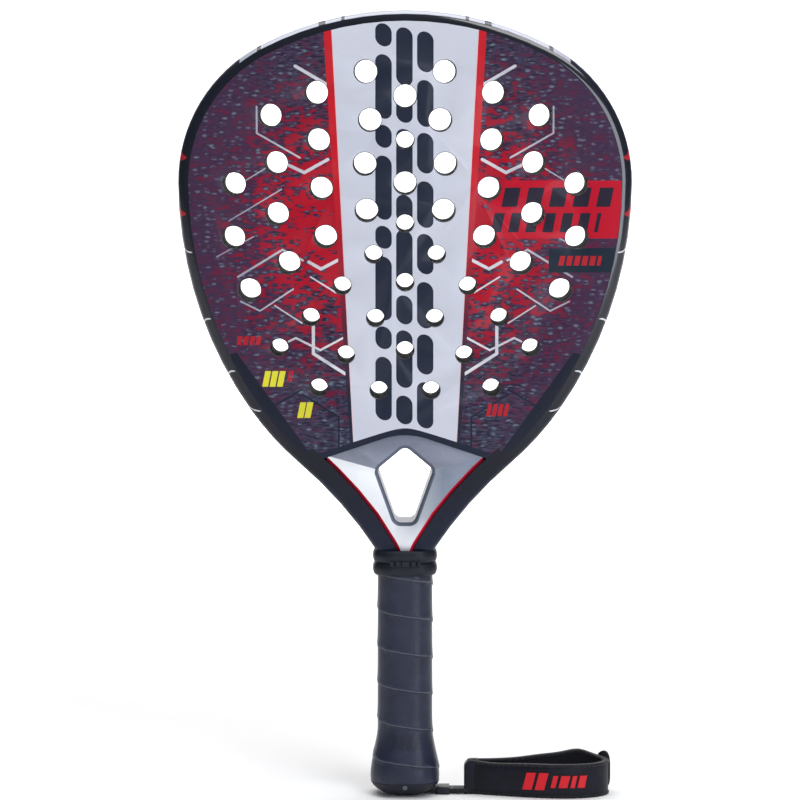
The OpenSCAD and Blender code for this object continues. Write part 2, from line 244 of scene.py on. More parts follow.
sweep.data.materials.append(paper)

# %% [markdown]
# Soft studio light: big area lamps, because a small lamp would leave hard shadows. The main
# one stands high on the right, so the sides that turn left stay dark. The tall one draws the
# long highlight where the frame and the grip turn right. The last two whiten the paper.
# %% Lights
def lamp(name, place, aim, size, power, tint="#ffffff"):
    """A soft lamp at a place, turned to a point: size is its width and height in metres."""
    away = [place[i] - aim[i] for i in range(3)]
    flat = hypot(away[0], away[1])
    turn = (atan2(flat, away[2]), 0, atan2(away[0], -away[1]))
    bpy.ops.object.light_add(type="AREA", location=place, rotation=turn)
    made = bpy.context.object
    made.name = name
    made.data.shape = "RECTANGLE"
    made.data.size, made.data.size_y = size
    made.data.energy = power
    made.data.color = shade(tint)[:3]


lamp("main softbox", (0.95, -1.65, 2.1), (0, 0, 0.28), (1.2, 0.9), 20.5)
lamp("right panel", (1.05, -2.1, 0.35), (0, 0, 0.3), (1.0, 1.4), 21, "#edf2ff")
lamp("top softbox", (0, 0.3, 2.4), (0, 0.3, 0), (2.6, 2.2), 62)
lamp("backdrop wash", (0, 1.6, 2.6), (0, 5, 1.2), (4.0, 1.5), 330)
world = bpy.data.worlds.new("pale room")
bpy.context.scene.world = world
world.use_nodes = True
world.node_tree.nodes["Background"].inputs["Color"].default_value = shade("#e9edf4")
world.node_tree.nodes["Background"].inputs["Strength"].default_value = 0.08

# %% [markdown]
# The frame is a hollow tube of carbon fibre, moulded round the head and down both sides of
# the handle, and sprayed with a near-black blue gloss lacquer. The copy keeps the CAD shape.
# Its rounded outer corners were drawn with few steps, so those edges are bevelled to make
# them round. The corner beside each face stays sharp, because face and frame are flush there.
# %% Frame tube
frame_shell = copied("frame_tube", "frame_shell")
with editing(frame_shell):
    round_edges = pick("edges", lambda e: e.is_convex and 18 < edge_turn(e) < 60
                       and max(abs(v.co.y) for v in e.verts) > 9 * MM)
    bpy.ops.mesh.bevel(offset=1.4 * MM, segments=4)
smoothed(frame_shell, 40)
print("rounded", round_edges, "edges of the tube")
stands_for(frame_shell, "frame_tube", "racket")

# %% [markdown]
# Printed marks on flat and curved pieces are drawn in the shader as rounded bars. The
# distance from a point to a bar is found in three moves: slide and turn the pattern so that
# the bar lies along X, fold it onto one quarter, and measure what sticks out past its end.
# %% Bars in a shader
def bar_distance(tree, plan, start, end, half):
    """How far outside a rounded bar a point of the plan is: below 0 is inside it."""
    middle = ((start[0] + end[0]) / 2, (start[1] + end[1]) / 2, 0)
    turn = atan2(end[1] - start[1], end[0] - start[0])
    reach = hypot(end[0] - start[0], end[1] - start[1]) / 2
    lying = add(tree, "Mapping", {"vector_type": "TEXTURE"},
                {"Vector": plan, "Location": middle, "Rotation": (0, 0, turn)})
    folded = add(tree, "VectorMath", {"operation": "ABSOLUTE"}, {0: lying})
    past = add(tree, "VectorMath", {"operation": "SUBTRACT"}, {0: folded, 1: (reach, 0, 0)})
    outside = add(tree, "VectorMath", {"operation": "MAXIMUM"}, {0: past, 1: (0, 0, 0)})
    length = add(tree, "VectorMath", {"operation": "LENGTH"}, {0: outside})
    return maths(tree, "SUBTRACT", length.outputs["Value"], half)


def drawn(tree, plan, lines):
    """A mask of lines, each a half width followed by the points it runs through."""
    nearest = None
    for half, *points in lines:
        for start, end in zip(points, points[1:]):
            gap = bar_distance(tree, plan, start, end, half)
            if nearest:
                gap = maths(tree, "MINIMUM", nearest, gap)
            nearest = gap
    return maths(tree, "LESS_THAN", nearest, 0.0)


def ramped(tree, value, low, high, first=0.0, last=1.0):
    """Goes evenly from first to last while value goes from low to high, and stops there."""
    return add(tree, "MapRange", {}, {0: value, 1: low, 2: high, 3: first, 4: last})


def between(tree, value, low, high):
    """1 where value is within the limits and 0 elsewhere."""
    return maths(tree, "COMPARE", value, (low + high) / 2, (high - low) / 2)


def all_of(tree, *masks):
    made = masks[0]
    for mask in masks[1:]:
        made = maths(tree, "MULTIPLY", made, mask)
    return made


# %% [markdown]
# Gloss lacquer over carbon: a dark blue base coat under a clear coat that reflects sharply
# round the head and thins out towards the throat. Pale dashes run along the outer edge of the
# crown, with small red and white marks lower down, all printed under the clear coat. A faint
# unevenness keeps it from looking like glass.
# %% Frame lacquer
lacquer, tree, shader = material("gloss lacquer on carbon frame", {
    "Roughness": 0.5, "Specular IOR Level": 0.15, "Coat Roughness": 0.09, "Coat IOR": 1.65})
place = millimetres(tree)
axes = add(tree, "SeparateXYZ", {}, {0: place})
side = maths(tree, "ABSOLUTE", axes.outputs["X"])
depth = maths(tree, "ABSOLUTE", axes.outputs["Y"])
height = axes.outputs["Z"]
cloud = noise(tree, place, 0.05, 3.0)
colour = blended(tree, ramped(tree, depth, 19, 13), "#11141f", "#131c33")
colour = blended(tree, ramped(tree, cloud, 0.35, 0.7, 0, 0.35), colour, "#1a1e2c")
dashes = add(tree, "ValToRGB", {}, {0: ramped(tree, side, 0, 100)})
dashes.color_ramp.interpolation = "CONSTANT"
stops = dashes.color_ramp.elements
stops[0].color, stops[1].color = (1, 1, 1, 1), (0, 0, 0, 1)
for spot, value in ((0.34, 0), (0.36, 1), (0.45, 0), (0.49, 1), (0.82, 0), (0.84, 1), (0.94, 0)):
    stops.new(spot).color = (value, value, value, 1)
stops[-1].position = 1.0
crown = all_of(tree, dashes, between(tree, depth, 10.5, 17.9), between(tree, height, 400, 460))
colour = blended(tree, crown, colour, "#b4b7c4")
edge = add(tree, "CombineXYZ", {}, {0: depth, 1: height})
low_side = between(tree, side, 60, 140)
red_marks = drawn(tree, edge, [(1.6, (13, 376), (17, 371)), (1.6, (13, 344), (17, 339))])
colour = blended(tree, all_of(tree, red_marks, low_side), colour, "#b01d2b")
white_marks = drawn(tree, edge, [(0.4, (11, 322), (18.4, 317)), (0.4, (11, 275), (18.4, 279)),
                                 (0.4, (11, 245), (18.4, 249)), (0.4, (11, 231), (18.4, 226))])
colour = blended(tree, all_of(tree, white_marks, low_side), colour, "#dcdde4")
tree.links.new(ramped(tree, height, 190, 330, 0.12, 0.9).outputs[0], shader.inputs["Coat Weight"])
peel = noise(tree, place, 0.35, 2.0)
finished(tree, shader, colour, peel, 0.03)
frame_shell.data.materials.append(lacquer)

# %% [markdown]
# Each face is a thin skin of carbon and glass fibre, drilled through with 52 holes. The copy
# of the CAD skin has sharp hole edges. A drill and a countersink leave a small chamfer there,
# where the black laminate shows as a thin ring, so the hole edges are bevelled and painted
# as a second material. The table repeats the drilling template: distance from the axis and
# height above the throat arch, and every hole off the axis has a twin.
# %% Faces with chamfered holes
ARCH_Z = 212
LARGE_HOLES = [(22.5, 208), (50.5, 196), (0, 194), (77, 183), (20, 180.5), (49.5, 169),
               (73.5, 156), (23, 155.5), (0, 144.5), (97.5, 144), (48, 141.5), (22, 129),
               (73, 127), (45.5, 114), (98, 113.5), (66.5, 99), (89, 83.5)]
SMALL_HOLES = [(0, 169), (0, 121.5), (18, 104), (0, 88), (36, 86), (54, 68), (17, 67.5),
               (72, 50.5), (0, 49), (34, 46.5), (49.5, 27.5), (15, 26)]
HOLES = [(x, z + ARCH_Z, 6.5) for x, z in LARGE_HOLES] + [(x, z + ARCH_Z, 5.0) for x, z in SMALL_HOLES]


def at_hole(edge):
    """True for an outer edge of a drilled hole."""
    if edge_turn(edge) < 60 or min(abs(v.co.y) for v in edge.verts) < 18.9 * MM:
        return False
    x, z = abs(edge.verts[0].co.x) / MM, edge.verts[0].co.z / MM
    return any(abs(hypot(x - h[0], z - h[1]) - h[2]) < 0.3 for h in HOLES)


skins = []
for node in ("front_face", "rear_face"):
    skin = copied(node, node.replace("face", "skin"))
    with editing(skin):
        rings = pick("edges", at_hole)
        bpy.ops.mesh.bevel(offset=0.4 * MM, segments=2)
    skins.append(skin)
    print(skin.name, "hole edges", rings)
    stands_for(skin, node, "racket")

# %% [markdown]
# The ring of laminate that the drill leaves: black, a little rough, with fine fibre ends.
# %% Cut laminate
cut_edge = grained("cut carbon laminate", {"Roughness": 0.5, "IOR": 1.5},
                   "TexNoise", {"Scale": 4.0, "Detail": 2.0}, ("#0d0e12", "#24262e"), 0.04)

# %% [markdown]
# The face print, built up in the order a printer would lay it down. First the mottled ground
# of the side panels: blue-grey turning purple near the frame, small pale dashes on a lattice
# about 5 mm apart, and red streaks that crowd towards the middle of each panel.
# %% Print: mottled ground
print_skin, tree, shader = material("printed carbon face under satin lacquer", {
    "Roughness": 0.5, "Specular IOR Level": 0.12, "Coat Weight": 0.15, "Coat Roughness": 0.12})
place = millimetres(tree)
axes = add(tree, "SeparateXYZ", {}, {0: place})
side = maths(tree, "ABSOLUTE", axes.outputs["X"])
height = axes.outputs["Z"]
plan = add(tree, "CombineXYZ", {}, {0: axes.outputs["X"], 1: height})
folded_plan = add(tree, "CombineXYZ", {}, {0: side, 1: height})

streak = add(tree, "Mapping", {}, {"Vector": plan, "Scale": (1 / 12, 1 / 4.6, 1)})
streaks = add(tree, "TexNoise", {}, {"Vector": streak, "Scale": 1.0, "Detail": 6.0, "Roughness": 0.66,
                                     "Distortion": 0.4})
patches = noise(tree, plan, 0.03, 2.0)
grain = add(tree, "Mapping", {}, {"Vector": plan, "Scale": (1 / 4.5, 1 / 1.3, 1)})
fine = noise(tree, grain, 1.0, 3.0)
ground = blended(tree, ramped(tree, fine, 0.4, 0.6), "#1c1e2f", "#424860")
outward = maths(tree, "MULTIPLY_ADD", patches, 60.0, side)
ground = blended(tree, ramped(tree, outward, 75, 125, 0.15, 0.85), ground, "#432c48")
lattice = add(tree, "Mapping", {}, {"Vector": plan, "Scale": (1 / 4.8, 1 / 2.5, 1)})
cells = add(tree, "TexVoronoi", {}, {"Vector": lattice, "Scale": 1.0, "Randomness": 0.7})
dots = all_of(tree, ramped(tree, cells, 0.42, 0.2), ramped(tree, fine, 0.42, 0.6, 0.0, 0.6))
ground = blended(tree, dots, ground, "#7f8b9c")

# %% [markdown]
# The red print is a stretched noise plus the lattice and the fine grain, cut at a level that
# rises with the distance from the middle of the side panel. Near the middle it leaves only
# dark lozenges on red, and towards the frame it thins out to a few maroon streaks.
# %% Print: red streaks
spread = add(tree, "Mapping", {"vector_type": "TEXTURE"},
             {"Vector": folded_plan, "Location": (42, 332, 0), "Scale": (66, 96, 1)})
centred = add(tree, "VectorMath", {"operation": "LENGTH"}, {0: spread})
level = ramped(tree, centred.outputs["Value"], 0.0, 1.25, 0.76, 1.14)
woven = maths(tree, "MULTIPLY_ADD", cells, 0.45, streaks)
woven = maths(tree, "MULTIPLY_ADD", fine, 0.35, woven)
over = maths(tree, "SUBTRACT", woven, level)
ground = blended(tree, ramped(tree, over, -0.2, -0.02, 0, 0.6), ground, "#5c2340")
red_tone = blended(tree, ramped(tree, centred.outputs["Value"], 0.4, 1.0), "#b3152a", "#6b1e38")
ground = blended(tree, ramped(tree, over, -0.03, 0.04), ground, red_tone)

# %% [markdown]
# Thin silver lines like the tracks of a circuit board run over the ground, the same on both
# halves. Each is a polyline: half its width, then its corners in millimetres.
# %% Print: silver lines
TRACKS = [
    (0.9, (62.5, 423), (44.5, 412.5)), (0.5, (84.5, 400), (84.5, 385), (60, 371)),
    (0.9, (68, 367.5), (57.5, 362.5), (44, 370)), (0.35, (91, 358), (79.5, 365)),
    (0.35, (100.5, 335), (70.5, 353)), (0.35, (107.5, 314.5), (86.5, 326)),
    (0.6, (95.5, 303), (70, 318.5), (58.5, 312.5)), (0.9, (55, 311.5), (48, 307.5), (38.5, 312.5)),
    (0.45, (54, 303), (39.5, 294)), (0.45, (94, 289), (83, 283.5), (64, 296)),
    (0.4, (74.5, 286.5), (59, 276.5)), (0.9, (52.5, 275), (52.5, 259), (34.5, 247.5)),
    (0.6, (66.5, 266), (62.5, 268), (48.5, 261), (35.5, 268))]
tracks = drawn(tree, folded_plan, TRACKS)
worn = ramped(tree, streaks, 0.3, 0.5, 0.75, 1.0)
silver = blended(tree, ramped(tree, side, 40, 105), "#e0dfe6", "#8d8ea0")
ground = blended(tree, all_of(tree, tracks, worn), ground, silver)
dark_tracks = drawn(tree, folded_plan, [(0.5, (74, 229.5), (59, 238.5)),
                                        (0.5, (59, 235.5), (38, 222.5), (38, 204))])
ground = blended(tree, dark_tracks, ground, "#1d2233")

# %% [markdown]
# Panels on one side only: a red block with two rows of slanted bars, a dark block with a
# short red row, and small coloured labels. They stand where a maker would put its words, and
# they are plain bars, because a shared part carries nobody's name. A row of bars is one
# repeating stripe cut off at both ends.
# %% Print: side labels
def bar_row(tree, plan, left, right, low, high, step, share):
    """Slanted bars between two ends and two heights: share of each step is filled."""
    parts = add(tree, "SeparateXYZ", {}, {0: plan})
    leaned = maths(tree, "MULTIPLY_ADD", parts.outputs["Y"], -0.2, parts.outputs["X"])
    start = left - 0.2 * (low + high) / 2
    shifted = maths(tree, "SUBTRACT", leaned, start)
    turn = maths(tree, "WRAP", shifted, step, 0.0)
    filled = maths(tree, "LESS_THAN", turn, step * share)
    ends = between(tree, leaned, start, start + right - left)
    return all_of(tree, filled, ends, between(tree, parts.outputs["Y"], low, high))


right = axes.outputs["X"]
block = all_of(tree, between(tree, right, 49, 200), between(tree, height, 325, 358))
ground = blended(tree, block, ground, "#bf152d")
for left_end, right_end, low, high, step, share in (
        (56, 118, 343, 354, 13.5, 0.66), (50, 111, 328.5, 339.5, 9.8, 0.6)):
    ground = blended(tree, bar_row(tree, plan, left_end, right_end, low, high, step, share),
                     ground, "#2b2636")
dark_block = all_of(tree, between(tree, right, 82, 200), between(tree, height, 305.5, 319.5))
ground = blended(tree, dark_block, ground, "#1f2a38")
ground = blended(tree, bar_row(tree, plan, 88, 112, 309.5, 315, 4.4, 0.7), ground, "#b4252f")
SMALL_LABELS = [(-81, -69, 240, 249, 4.2, 0.8, "#e3dc3a"), (-67, -64, 243, 249, 1.6, 0.6, "#c02030"),
                (-61, -53, 222, 231, 4.1, 0.85, "#dcd53a"), (-96, -82, 264, 269, 3.6, 0.75, "#b0222f"),
                (47, 60, 223, 230, 3.3, 0.7, "#b3222d")]
for left_end, right_end, low, high, step, share, code in SMALL_LABELS:
    ground = blended(tree, bar_row(tree, plan, left_end, right_end, low, high, step, share), ground, code)

# %% [markdown]
# The pale middle panel widens towards the crown. A fine pinkish line and a red stripe edge it,
# and the stripe grows darker and narrower towards the throat. Large dark bars fill its middle
# in a pattern that repeats every 58 mm, all slanted alike.
# %% Print: middle panel
panel_edge = maths(tree, "MULTIPLY_ADD", height, 0.0517, 29.1 - 0.0517 * 207)
beyond = maths(tree, "SUBTRACT", side, panel_edge)
stripe_w = ramped(tree, height, 215, 420, 2.6, 5.0)
stripe = maths(tree, "LESS_THAN", beyond, stripe_w)
stripe_tone = add(tree, "ValToRGB", {}, {0: ramped(tree, height, 200, 455)})
tones = stripe_tone.color_ramp.elements
tones[0].position, tones[0].color = 0.16, shade("#252a3c")
tones[1].position, tones[1].color = 0.62, shade("#c9202c")
tones.new(0.30).color = shade("#5b2238")
tones.new(0.46).color = shade("#a81f2e")
ground = blended(tree, stripe, ground, stripe_tone.outputs[0])
line = maths(tree, "LESS_THAN", beyond, 0.6)
ground = blended(tree, line, ground, "#e3c8cf")
panel = maths(tree, "LESS_THAN", beyond, 0.0)
sheen = noise(tree, plan, 0.015, 1.0)
ground = blended(tree, panel, ground, blended(tree, sheen, "#c8ccda", "#d8dae4"))

slope = tan(radians(11))
leaned_z = maths(tree, "MULTIPLY_ADD", axes.outputs["X"], slope, height)
from_foot = maths(tree, "SUBTRACT", leaned_z, 217.0)
module = maths(tree, "WRAP", from_foot, 57.5, 0.0)
tile = add(tree, "CombineXYZ", {}, {0: axes.outputs["X"], 1: module})
big_bars = drawn(tree, tile, [
    (4.7, (-12.3, 6), (-12.3, 33)), (4.7, (-12.3, 47), (-12.3, 50.5)),
    (4.7, (-0.4, 6), (-0.4, 13)), (4.7, (-0.4, 27), (-0.4, 50.5)),
    (4.7, (11.5, 6), (11.5, 23)), (4.7, (11.5, 37), (11.5, 50.5))])
big_bars = all_of(tree, big_bars, between(tree, from_foot, 0.0, 230.0))
ground = blended(tree, big_bars, ground, "#262c3d")

# %% [markdown]
# A dark border follows the throat arch. The arch is two slopes joined by a round crown, and
# one square root gives that shape. The finished colour goes to the shader, with a slight
# relief: the printed dashes and the fine grain stand a few hundredths of a millimetre proud.
# %% Print: border and finish
squared = maths(tree, "MULTIPLY_ADD", side, side, 6.5 ** 2)
root = maths(tree, "SQRT", squared)
arch_line = maths(tree, "MULTIPLY_ADD", root, -tan(radians(18.5)), ARCH_Z + 2.2 + 4.0)
border = maths(tree, "LESS_THAN", height, arch_line)
ground = blended(tree, border, ground, "#1f2537")
shoulders = drawn(tree, folded_plan, [(9.5, (30, 170), (58, 196), (80, 224), (96, 250))])
fading = maths(tree, "GREATER_THAN", side, maths(tree, "MULTIPLY_ADD", height, 0.72, -90.5))
ground = blended(tree, all_of(tree, shoulders, fading), ground, "#1b2030")
finished(tree, shader, ground, maths(tree, "MULTIPLY_ADD", dots, 0.6, fine), 0.06)
for skin in skins:
    skin.data.materials.append(print_skin)
    skin.data.materials.append(cut_edge)
    with editing(skin):
        chamfers = pick("faces", lambda f: 0.05 < abs(f.normal.y) < 0.995 and abs(middle(f).y) > 18)
        painted(1)
    smoothed(skin, 30)
    print(skin.name, "chamfer faces", chamfers)
print("face print", len(tree.nodes), "nodes")

# %% [markdown]
# The print does not stop at the skin's edge: the transfer is laid over the flat part of the
# frame as well, and the lacquer takes over where the frame starts to round. So the flat band
# of the frame above the throat gets the print as its second material.
# %% Print on the frame's flat band
frame_shell.data.materials.append(print_skin)
with editing(frame_shell):
    banded = pick("faces", lambda f: abs(f.normal.y) > 0.9995 and abs(middle(f).y) > 18.9
                  and middle(f).z > 205)
    painted(1)
print("frame faces with print", banded)

# %% [markdown]
# Under the skins is the core, a block of closed-cell EVA foam that shows only inside the
# holes. Its CAD solid is already the right shape, so it stays and gets a matt black foam
# finish with cells a few tenths of a millimetre across.
# %% Foam core
foam = grained("black EVA foam", {"Roughness": 0.85, "IOR": 1.45},
               "TexVoronoi", {"Scale": 1.6}, ("#0c0d10", "#1f2128"), 0.1)
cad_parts["eva_core"].material_slots[0].material = foam

# %% [markdown]
# The throat bridge is a moulded piece with flat facets that meet at fine ridges. The copy of
# the CAD solid is cut along those ridges, and each corner is then moved to the lowest of five
# sloping planes, which leaves a crisp faceted shield on both sides. The edge beside the frame
# is chamfered for the red pinstripe, and the opening gets a wider chamfer.
# %% Throat bridge
def shield_depth(x, z):
    """Half thickness of the bridge at a point of its plan, in millimetres."""
    upper = 19.0 - 0.107 * (z - 192)
    flank = 19.0 - 0.067 * (x - 15.2) - 0.1394 * (192 - z)
    foot = 13.0 + 0.139 * (z - 145.5)
    neck = 10.0 + 0.288 * (z - 134)
    return min(18.9, upper, flank, foot, neck)


bridge = copied("throat_yoke", "throat_bridge")
bpy.ops.object.mode_set(mode="EDIT")
tip, waist = (42.8, 199.5), (15.2, 192.0)
for mirror in (1, -1):
    ridge = (waist[1] - tip[1], 0, mirror * (tip[0] - waist[0]))
    for start, lean in ((waist, ridge), ((8.0, 150.0), (1, 0, 0))):
        bpy.ops.mesh.select_all(action="SELECT")
        bpy.ops.mesh.bisect(plane_co=(mirror * start[0] * MM, 0, start[1] * MM), plane_no=lean)
shape = bmesh.from_edit_mesh(bridge.data)
for v in shape.verts:
    half = shield_depth(abs(v.co.x) / MM, v.co.z / MM) * MM
    v.co.y = half if v.co.y > 0 else -half
bmesh.update_edit_mesh(bridge.data)
bpy.ops.mesh.select_all(action="SELECT")
bpy.ops.mesh.dissolve_limited(angle_limit=radians(0.6))


def opening_half(z):
    """Half width of the opening at a height."""
    return 5.2 + (z - 160.9) * 0.354 if z < 192 else 16.2 * (205.3 - z) / 13.3


def past_opening(face):
    """How far the middle of a face lies beside the opening, in millimetres."""
    return abs(middle(face).x) - opening_half(middle(face).z)


def at_opening(edge):
    return edge_turn(edge) > 50 and all(
        160 < v.co.z / MM < 206 and abs(v.co.x) / MM < opening_half(v.co.z / MM) + 1.2 for v in edge.verts)


def at_frame(edge):
    return edge_turn(edge) > 50 and not at_opening(edge) and all(
        133 < v.co.z / MM < 199.7 and abs(v.co.x) > 2 * MM for v in edge.verts)


at_openings = pick("edges", at_opening)
bpy.ops.mesh.bevel(offset=2.0 * MM, segments=2)
at_frames = pick("edges", at_frame)
bpy.ops.mesh.bevel(offset=2.1 * MM, segments=1)
bpy.ops.object.mode_set(mode="OBJECT")
print("bridge edges", at_openings, at_frames)

# %% [markdown]
# Silver metallic lacquer: tiny aluminium flakes in a pale binder. Light and shade are painted
# into its colour: a painted highlight on the left side fades to painted shade on the right, the
# top facet is greyed as painted shade, and the foot is brightened as a painted highlight. The
# pinstripe is red gloss, and the chamfer round the opening is a darker grey.
# %% Silver and red lacquer
silver_lacquer, tree, shader = material("silver metallic lacquer", {
    "Metallic": 0.35, "Roughness": 0.4, "Coat Weight": 0.3, "Coat Roughness": 0.12})
place = millimetres(tree)
flakes = add(tree, "TexVoronoi", {}, {"Vector": place, "Scale": 3.0})
soft = noise(tree, place, 0.08, 2.0)
across = add(tree, "SeparateXYZ", {}, {0: place})
# Painted light: the colour goes from a painted highlight on the left to painted shade on the right.
painted_light_to_shade = ramped(tree, across.outputs["X"], -16, 22)
tone = blended(tree, painted_light_to_shade, "#f8fbff", "#68768c")
# Painted highlight: the foot below the opening is lightened.
tone = blended(tree, ramped(tree, across.outputs["Z"], 164, 148, 0, 0.85), tone, "#f2f5fa")
side = maths(tree, "ABSOLUTE", across.outputs["X"])
# Painted shade: the top facet above the ridges is greyed.
painted_shade_top_facet = maths(tree, "GREATER_THAN", across.outputs["Z"], ramped(tree, side, 15.2, 42.8, 192, 199.5))
tone = blended(tree, painted_shade_top_facet, tone, "#71778b")
tone = blended(tree, ramped(tree, soft, 0.3, 0.7, 0.0, 0.12), tone, "#b4b9c6")
tone = blended(tree, ramped(tree, flakes, 0.0, 0.9, 0.0, 0.15), tone, "#eef0f6")
finished(tree, shader, tone, flakes, 0.012)
red_lacquer = grained("red gloss lacquer", {"Roughness": 0.3, "IOR": 1.5, "Coat Weight": 0.4},
                      "TexNoise", {"Scale": 0.6, "Detail": 3.0}, ("#d21a34", "#e62a42"), 0.02)
grey_lacquer = grained("grey metallic lacquer", {"Metallic": 0.35, "Roughness": 0.4},
                       "TexNoise", {"Scale": 1.5, "Detail": 3.0}, ("#4f5566", "#666c7e"), 0.01)
for finish in (silver_lacquer, red_lacquer, grey_lacquer):
    bridge.data.materials.append(finish)
with editing(bridge):
    striped = pick("faces", lambda f: 0.3 < abs(f.normal.y) < 0.9 and f.normal.z < 0.3
                   and 134.5 < middle(f).z < 199 and past_opening(f) > 2.5)
    painted(1)
    rim = pick("faces", lambda f: abs(f.normal.y) < 0.97 and 158 < middle(f).z < 208
               and past_opening(f) < 2.2)
    painted(2)
softened(bridge, 0.2, 2, 30)
smoothed(bridge, 20)
print("pinstripe faces", striped, "rim faces", rim)
stands_for(bridge, "throat_yoke", "racket")

# %% [markdown]
# The handle parts are sleeves: rings of points stacked on each other. A helper adds an open
# cylinder, cuts its upright edges so that it has one ring per step, and moves each point of a
# ring to where that ring's rule says. Both ends are capped, or joined to each other when the
# rings run down the inside as well. The handle's section is an octagon with soft corners.
# %% Sleeve helper
def sleeve(name, rings, around=96, ends="capped"):
    """A tube through rings, each a function from an angle to a point in millimetres."""
    bpy.ops.object.select_all(action="DESELECT")
    bpy.ops.mesh.primitive_cylinder_add(vertices=around, radius=1, depth=len(rings) - 1,
                                        end_fill_type="NOTHING")
    piece = bpy.context.object
    piece.name = name
    with editing(piece):
        pick("edges", lambda e: abs(e.verts[0].co.z - e.verts[1].co.z) > 0.1)
        bpy.ops.mesh.subdivide(number_cuts=len(rings) - 2)
        shape = bmesh.from_edit_mesh(piece.data)
        lowest = -(len(rings) - 1) / 2
        for v in shape.verts:
            spot = rings[round(v.co.z - lowest)](atan2(v.co.y, v.co.x))
            v.co = [s * MM for s in spot]
        bmesh.update_edit_mesh(piece.data)
        pick("edges", lambda e: e.is_boundary)
        if ends == "joined":
            bpy.ops.mesh.bridge_edge_loops()
        else:
            bpy.ops.mesh.fill_holes(sides=0)
        bpy.ops.mesh.select_all(action="SELECT")
        bpy.ops.mesh.normals_make_consistent(inside=False)
    return piece


def soft_octagon(angle, half_w, half_d, cut, crisp=11):
    """Point of an octagon with rounded corners, in the direction of an angle."""
    c, s = abs(cos(angle)), abs(sin(angle))
    terms = (c / half_w, s / half_d, (c + s) / (half_w + half_d - cut))
    reach = sum(t ** crisp for t in terms) ** (-1 / crisp)
    return reach * cos(angle), reach * sin(angle)


def octagon_ring(z, half_w, half_d, cut, crisp=11):
    """The rule of a ring that is such an octagon at one height."""
    def ring(angle):
        return *soft_octagon(angle, half_w, half_d, cut, crisp), z
    return ring


def soft_square(angle, crisp=5):
    """Point of a square of half side 1 with rounded corners, in the direction of an angle."""
    reach = (abs(cos(angle)) ** crisp + abs(sin(angle)) ** crisp) ** (-1 / crisp)
    return reach * cos(angle), reach * sin(angle)


HANDLE_W, HANDLE_D, HANDLE_CUT = 32.4, 29.4, 7.2
BUTT_W, BUTT_D = 40.8, 37.4


def swell(z):
    """How far the handle has widened into its flare at a height, from 0 to 1."""
    u = min(max((41 - z) / 30, 0), 1)
    return u * u * (3 - 2 * u)


def handle_half(z, inset=0.0):
    """Half width, half depth and corner cut of the handle at a height."""
    dome = 1 - 0.55 * max(1 - z / 11, 0) ** 2.5
    half_w = (HANDLE_W + (BUTT_W - HANDLE_W) * swell(z)) / 2 * dome
    half_d = (HANDLE_D + (BUTT_D - HANDLE_D) * swell(z)) / 2 * dome
    return half_w - inset, half_d - inset, 2 * HANDLE_CUT * half_w / HANDLE_W - inset * 0.586


# %% [markdown]
# The grip is a strip of polyurethane wound up the handle. Each turn lies a little over the
# one below, which leaves a low step that climbs round the handle like the thread of a screw.
# The rings are spaced 0.7 mm apart so that the step is crisp. The inside is one plain layer.
# %% Grip wrap
PITCH, SEAM_Z, SWAY = 21.6, 19.5, 1.2
LIP_Z = 8.4
WRAP_TOP = 134.0


def wrap_ridge(angle, z):
    """How far the overlap lifts the wrap at a point, in millimetres."""
    round_front = atan2(cos(angle), -sin(angle))
    seam_z = SEAM_Z - PITCH * round_front / (2 * pi) + SWAY * sin(round_front)
    above = (z - seam_z) % PITCH
    return 0.55 * exp(-above / 4) - 0.2 * exp(-(PITCH - above) / 0.7)


def wrap_ring(z):
    def ring(angle):
        return *soft_octagon(angle, *handle_half(z, 0.3 - wrap_ridge(angle, z))), z
    return ring


def plain_ring(z, inset):
    return octagon_ring(z, *handle_half(z, inset))


steps = 179
outer = [wrap_ring(LIP_Z + (WRAP_TOP - LIP_Z) * i / steps) for i in range(steps + 1)]
inner = [plain_ring(z, 1.7) for z in (WRAP_TOP, 90, 50, 41, 35, 30, 25, 20, 15, 11, LIP_Z)]
grip = sleeve("grip_wrap", outer + inner, ends="joined")
smoothed(grip, 50)
stands_for(grip, "base_grip", "racket")

# %% [markdown]
# Polyurethane grip tape: a satin blue-grey skin with a fine leathery grain, slightly darker
# where hands polish it least. Near the butt a row of slanted bars is pressed into the front
# and the back. Along each seam a light line is a painted highlight, and a dark line is a
# painted shadow under the overlap.
# %% Grip tape
tape, tree, shader = material("polyurethane grip tape", {"Roughness": 0.38, "Specular IOR Level": 0.4})
place = millimetres(tree)
axes = add(tree, "SeparateXYZ", {}, {0: place})
plan = add(tree, "CombineXYZ", {}, {0: axes.outputs["X"], 1: axes.outputs["Z"]})
leather = add(tree, "TexVoronoi", {"feature": "SMOOTH_F1"}, {"Vector": place, "Scale": 1.4})
cloud = noise(tree, place, 0.08, 3.0)
tone = blended(tree, ramped(tree, cloud, 0.3, 0.7), "#1c2134", "#272d43")
pressed = bar_row(tree, plan, -8, 8.5, 28.5, 36.5, 4.6, 0.62)
tone = blended(tree, ramped(tree, pressed, 0, 1, 0, 0.55), tone, "#1c202b")
round_front = maths(tree, "ARCTAN2", axes.outputs["X"], maths(tree, "MULTIPLY", axes.outputs["Y"], -1.0))
wobble = maths(tree, "SINE", round_front)
climb = maths(tree, "MULTIPLY_ADD", round_front, PITCH / (2 * pi), axes.outputs["Z"])
climb = maths(tree, "MULTIPLY_ADD", wobble, -SWAY, climb)
past_seam = maths(tree, "SUBTRACT", maths(tree, "WRAP", climb, SEAM_Z + PITCH, SEAM_Z), SEAM_Z)
# Painted highlight: a light line just above each seam, on the raised edge of the upper turn.
tone = blended(tree, ramped(tree, past_seam, 0.9, 0.2, 0, 0.6), tone, "#646b80")
